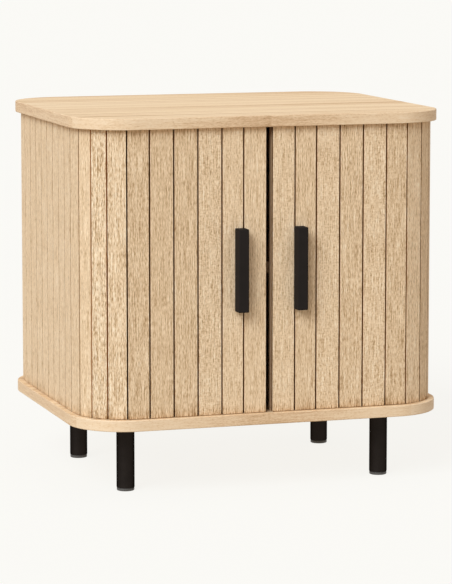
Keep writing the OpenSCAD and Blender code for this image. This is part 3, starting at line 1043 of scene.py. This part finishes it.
doorLook = {
    "stileThick": 9 * mm,
    "stileEase": 0.4 * mm,
    "stileSetback": 3 * mm,             # from the end of the second slat
    "stileTone": -0.05,
    # painted shade on the stile's front strip, and painted light on its leading edge, growing towards the
    # back of the door gap
    "stileFrontPaintedShade": -0.4,             # the strip that shows beside the first slat's sloping edge
    "stileEdgePaintedLight": (0.0, 0.6),       # the leading edge, from the slat to the stile's back
    "tongueThick": 4 * mm,
    "tongueEnd": 3 * mm,
    "tongueReach": 4 * mm,
    "tongueRoot": 2 * mm,
    "tongueEase": 0.5 * mm,
    "flapRoom": (0.1 * mm, 1 * mm),     # beside and behind the canvas
    "handleEase": 1.3 * mm,
    "handlePitch": 64 * mm,
    "screwHead": (4 * mm, 2.5 * mm, 2 * mm),        # radius, height, radius of the shank
    "screwSink": (4.1 * mm, 2.6 * mm),
    "screwInHandle": 9 * mm,
    "seeds": {"stile": 300, "tongue": 310, "handle": 1.0},
}
cutPast = 1 * mm        # how far a cutter runs past the surface it cuts
slatBack = centreY - faceY + slatMeasures["thick"]
stileBack = slatBack + doorLook["stileThick"]
stileStart = slatEnds[0] + slatMeasures["gap"] / 2
stileEnd = slatEnds[2] - doorLook["stileSetback"]


def ordered(a, b):
    return [min(p, q) for p, q in zip(a, b)], [max(p, q) for p, q in zip(a, b)]


def stileBoard(side):
    # its leading edge and its front face have their own darker wood, painted shade for the door gap
    low, high = ordered((side * stileStart, slatBack, slatLow), (side * stileEnd, stileBack, slatHigh))

    def woodOf(normal):
        return 1 if normal.x * side < -0.5 or normal.y < -0.5 else 0

    seed = doorLook["seeds"]["stile"] + side
    bm = easedBlock(low, high, doorLook["stileEase"], 2, seed, doorLook["stileTone"], woodOf)
    toneAndShade = grainLayers(bm)[1]
    frontTone, backTone = doorLook["stileEdgePaintedLight"]
    # painted shade on the front strip, painted light growing towards the back of the leading edge
    for face in bm.faces:
        if face.material_index == 1:
            isFront = face.calc_center_median().y < slatBack + weldReach
            for loop in face.loops:
                share = (loop.vert.co.y - slatBack) / doorLook["stileThick"]
                tone = doorLook["stileFrontPaintedShade"] if isFront else frontTone + (backTone - frontTone) * share
                loop[toneAndShade] = (tone, 1, 0)
    return bm


def tongueBlocks(side):
    near = centreY - faceY + slabMeasures["grooveNear"]
    near += (slabMeasures["grooveWidth"] - doorLook["tongueThick"]) / 2
    far = near + doorLook["tongueThick"]
    root, reach = doorLook["tongueRoot"], doorLook["tongueReach"]
    blocks = []
    for start, end in ((slatLow + root, floorOfSpace - reach), (slatHigh - root, roofOfSpace + reach)):
        tip = stileEnd - doorLook["tongueEnd"]
        low, high = ordered((side * stileStart, near, start), (side * tip, far, end))
        seed = doorLook["seeds"]["tongue"] + side
        bm = easedBlock(low, high, doorLook["tongueEase"], 0, seed, doorLook["stileTone"])
        blocks.append(cutterFrom(bm))
    return blocks


for sideName, side in sideNames.items():
    body = f"{sideName}_door_lead"
    handleLow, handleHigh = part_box(f"{sideName}_handle")
    handleX, handleZ = (handleLow.x + handleHigh.x) / 2, (handleLow.z + handleHigh.z) / 2
    screwHeights = [handleZ + way * doorLook["handlePitch"] / 2 for way in (-1, 1)]

    # stile, with tongues for the grooves, room for the canvas and sinks for the screws
    stile = finishPiece(f"{sideName}_stile", stileBoard(side), [slatOak, stileEdgeShadedOak])
    carve(stile, tongueBlocks(side), "UNION")
    roomBeside, roomDeep = doorLook["flapRoom"]
    flapStart = slatEnds[2] - canvasLook["flap"] - roomBeside
    cutters = [boxCutter(*ordered((side * flapStart, slatBack - cutPast, slatLow - cutPast),
                                  (side * (slatEnds[2] + cutPast), slatBack + roomDeep, slatHigh + cutPast)))]
    sinkRadius, sinkDeep = doorLook["screwSink"]
    for z in screwHeights:
        start, end = (handleX, stileBack - sinkDeep, z), (handleX, stileBack + cutPast, z)
        cutters.append(rodCutter(sinkRadius, start, end))
    carve(stile, cutters)
    settle(stile, body, f"{sideName}_lead_stile")

    # handle: a square bar with rounded edges
    bm = easedBlock(handleLow, handleHigh, doorLook["handleEase"], 2, doorLook["seeds"]["handle"])
    handle = finishPiece(f"{sideName}_bar_handle", bm, [handleBlack])
    settle(handle, body, f"{sideName}_handle")

    headTall = doorLook["screwHead"][1]
    places = [(handleX, stileBack - headTall, z) for z in screwHeights]
    shankLength = slatMeasures["thick"] + doorLook["stileThick"] - headTall + doorLook["screwInHandle"]
    screws = screwPiece(f"{sideName}_handle_screw_set", places, (0, 1, 0), doorLook["screwHead"], shankLength)
    settle(screws, body, f"{sideName}_handle_screws")
print("stiles and handles built")


# carcass: inner sides, back panel, shelf and its pins

carcassLook = {
    "sideEase": 0.8 * mm,
    "shelfEase": 0.8 * mm,
    "backEase": 0.4 * mm,
    "slotRoom": 0.3 * mm,
    "pinRadius": 2.5 * mm,
    "pinLong": 19 * mm,
    "pinRound": 1.2 * mm,
    "pinRoundSteps": 4,
    "pinEase": 0.4 * mm,
    "pinPlaces": (-130 * mm, 130 * mm),
    "pinHole": (2.6 * mm, 9.1 * mm),
    "pinHoleSteps": 24,
    "seeds": {"left": 47, "right": 53, "back": 60, "shelf": 70},
    "pinSharp": 40,
}
backLow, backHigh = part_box("back_panel")
shelfLow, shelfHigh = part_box("shelf")
pinZ = shelfLow.z - carcassLook["pinRadius"]


def buildInnerSide(sideName, side):
    # with the slot of the back panel and the holes of the shelf pins
    low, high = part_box(f"{sideName}_inner_side")
    bm = easedBlock(low, high, carcassLook["sideEase"], 2, carcassLook["seeds"][sideName])
    board = finishPiece(f"{sideName}_inner_board", bm, [insideOak])
    room = carcassLook["slotRoom"]
    slotLow = (backLow.x - room if side < 0 else low.x - cutPast, backLow.y - room, low.z - cutPast)
    slotHigh = (high.x + cutPast if side < 0 else backHigh.x + room, backHigh.y + room, high.z + cutPast)
    cutters = [boxCutter(slotLow, slotHigh)]
    inside = high.x if side < 0 else low.x
    radius, depth = carcassLook["pinHole"]
    for y in carcassLook["pinPlaces"]:
        start, end = (inside - side * cutPast, y + centreY, pinZ), (inside + side * depth, y + centreY, pinZ)
        cutters.append(rodCutter(radius, start, end, carcassLook["pinHoleSteps"]))
    carve(board, cutters)
    settle(board, "carcass", f"{sideName}_inner_side")


def buildShelfPins():
    r, c, ease = carcassLook["pinRadius"], carcassLook["pinRound"], carcassLook["pinEase"]
    straightEnd = carcassLook["pinLong"] - c
    profile = [(r - ease, 0), (r, ease), (r, straightEnd)]
    for i in range(1, carcassLook["pinRoundSteps"] + 1):
        a = math.pi / 2 * i / carcassLook["pinRoundSteps"]
        profile.append((r - c * (1 - math.cos(a)), straightEnd + c * math.sin(a)))
    pinLow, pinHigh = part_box("shelf_pins")
    bm = newGrainMesh()
    for x, way in ((pinLow.x, 1), (pinHigh.x, -1)):
        for y in carcassLook["pinPlaces"]:
            addTurned(bm, profile, (x, y + centreY, pinZ), (way, 0, 0), screwLook["steps"])
    pins = finishPiece("shelf_pin_set", bm, [screwMetal], carcassLook["pinSharp"])
    settle(pins, "carcass", "shelf_pins")


for sideName, side in sideNames.items():
    buildInnerSide(sideName, side)
bm = easedBlock(backLow, backHigh, carcassLook["backEase"], 2, carcassLook["seeds"]["back"])
settle(finishPiece("back_board", bm, [insideOak]), "carcass", "back_panel")
bm = easedBlock(shelfLow, shelfHigh, carcassLook["shelfEase"], 0, carcassLook["seeds"]["shelf"])
settle(finishPiece("shelf_board", bm, [insideOak]), "carcass", "shelf")
buildShelfPins()
print("carcass built")


# legs, glides, plates and screws

legLook = {
    "radius": 13 * mm,
    "ease": 0.6 * mm,
    "held": 0.5 * mm,               # narrow rings beside the edges keep the soft shading there
    "glideStep": 0.4 * mm,          # how far a glide stands back from its leg
    "glideEase": 0.9 * mm,
    "glideHeld": 0.4 * mm,
    "glideNeck": 0.9 * mm,
    "plateRadius": 24 * mm,
    "plateEase": 0.7 * mm,
    "screwCircle": 18 * mm,
    "screwTurns": (45, 135, 225, 315),
    "screwHead": (3.5 * mm, 2.2 * mm, 2 * mm),      # radius, height, radius of the shank
    "screwLong": 13 * mm,
    "steps": 64,
}
upright = (0, 0, 1)
legPlaces = []
for name in ("front_left", "front_right", "rear_left", "rear_right"):
    low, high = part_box(f"{name}_leg")
    place = ((low.x + high.x) / 2, (low.y + high.y) / 2, 0)
    legPlaces.append(place)
    r, e, held = legLook["radius"], legLook["ease"], legLook["held"]
    profile = easedEnd(r, e, low.z, 1) + [(r, low.z + e + held), (r, high.z - e - held)]
    profile += reversed(easedEnd(r, e, high.z, -1))
    bm = newGrainMesh()
    addTurned(bm, profile, place, upright, legLook["steps"])
    settle(finishPiece(f"{name}_tube_leg", bm, [legBlack]), "carcass", f"{name}_leg")


def glideProfile():
    # a rounded foot, then a groove under the leg
    r, e, neck = legLook["radius"] - legLook["glideStep"], legLook["glideEase"], legLook["glideNeck"]
    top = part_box("front_left_leg")[0].z
    profile = easedEnd(r, e, 0, 1) + [(r, e + legLook["glideHeld"])]
    profile += [(r, top - 1.6 * neck), (r, top - 1.2 * neck), (r - 0.2 * neck, top - neck)]
    return profile + [(r - neck, top - neck), (r - neck, top)]


plateLow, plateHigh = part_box("leg_plates")
plateRadius = legLook["plateRadius"]
plateOutline = easedEnd(plateRadius, legLook["plateEase"], plateLow.z, 1) + [(plateRadius, plateHigh.z)]
glides, plates, screwPlaces = newGrainMesh(), newGrainMesh(), []
glideOutline = glideProfile()
for place in legPlaces:
    addTurned(glides, glideOutline, place, upright, legLook["steps"])
    addTurned(plates, plateOutline, place, upright, legLook["steps"])
    for turn in legLook["screwTurns"]:
        out = Vector((math.cos(math.radians(turn)), math.sin(math.radians(turn)))) * legLook["screwCircle"]
        screwPlaces.append((place[0] + out.x, place[1] + out.y, plateLow.z))
settle(finishPiece("glide_set", glides, [glideGrey]), "carcass", "foot_glides")
settle(finishPiece("plate_set", plates, [zincMetal]), "carcass", "leg_plates")
downward = (0, 0, -1)
plateScrews = screwPiece("plate_screw_set", screwPlaces, downward, legLook["screwHead"], legLook["screwLong"])
settle(plateScrews, "carcass", "leg_plate_screws")

# fixings that stay as the CAD has them, out of sight
for nodeName, material in (("carcass_dowels", beechWood), ("leg_bolts", screwMetal)):
    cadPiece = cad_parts[nodeName]
    cadPiece.data.materials.clear()
    cadPiece.data.materials.append(material)
print("legs and fixings built")


# floor, world and lamp

studio = {
    "background": (251, 250, 246),
    "floorBounce": (0.46, 0.41, 0.33),      # the light the floor throws back onto the table
    "floorRadius": 60,
    "floorSteps": 96,
    "shadowShare": 0.1,                     # how much of the floor's look takes shadow
    "sky": (0.55, 0.505, 0.472),
    "lamp": (0.69, 0.77, 0.83),
    "lampPower": math.pi,                   # lights a face square to the lamp by the lamp's own colour
    "lampFrom": (-0.585, -0.545, 0.6),
    "lampSoftness": 34,
}


def seenDirectly(tree):
    # 1 for what the camera, a mirror or glass shows, 0 for light that falls on the object
    path = tree.nodes.new("ShaderNodeLightPath")
    total = calc(tree, "ADD", path.outputs["Is Camera Ray"], path.outputs["Is Glossy Ray"], True)
    return calc(tree, "ADD", total, path.outputs["Is Transmission Ray"], True)


def coloured(tree, kind, colour):
    step = tree.nodes.new(kind)
    step.inputs["Color"].default_value = colour
    return step.outputs[0]


def mixed(tree, share, first, second):
    step = tree.nodes.new("ShaderNodeMixShader")
    wire(tree, share, step.inputs[0])
    tree.links.new(first, step.inputs[1])
    tree.links.new(second, step.inputs[2])
    return step.outputs[0]


def buildFloor(look):
    bm = bmesh.new()
    bmesh.ops.create_circle(bm, cap_ends=True, radius=look["floorRadius"], segments=look["floorSteps"])
    floor = meshObject("floor", bm)
    material = bpy.data.materials.new("paleFloor")
    tree, output = emptyTree(material, "ShaderNodeOutputMaterial")
    pale = coloured(tree, "ShaderNodeBsdfDiffuse", paint(*look["background"]))
    glow = coloured(tree, "ShaderNodeEmission", paint(*look["background"]))
    bounce = coloured(tree, "ShaderNodeEmission", (*look["floorBounce"], 1))
    shown = mixed(tree, look["shadowShare"], glow, pale)
    tree.links.new(mixed(tree, seenDirectly(tree), bounce, shown), output.inputs[0])
    floor.data.materials.append(material)


def buildWorld(look):
    world = bpy.data.worlds.new("studio")
    bpy.context.scene.world = world
    tree, output = emptyTree(world, "ShaderNodeOutputWorld")
    sky = coloured(tree, "ShaderNodeBackground", (*look["sky"], 1))
    backdrop = coloured(tree, "ShaderNodeBackground", paint(*look["background"]))
    tree.links.new(mixed(tree, seenDirectly(tree), sky, backdrop), output.inputs[0])


def buildLamp(look):
    data = bpy.data.lights.new("softLamp", "SUN")
    data.color = look["lamp"]
    data.energy = look["lampPower"]
    data.angle = math.radians(look["lampSoftness"])
    lamp = newObject("softLamp", data)
    lamp.rotation_mode = "QUATERNION"
    lamp.rotation_quaternion = Vector(look["lampFrom"]).to_track_quat("Z", "Y")


buildFloor(studio)
buildWorld(studio)
buildLamp(studio)
bpy.context.scene.view_settings.view_transform = "Standard"
print("studio lit")
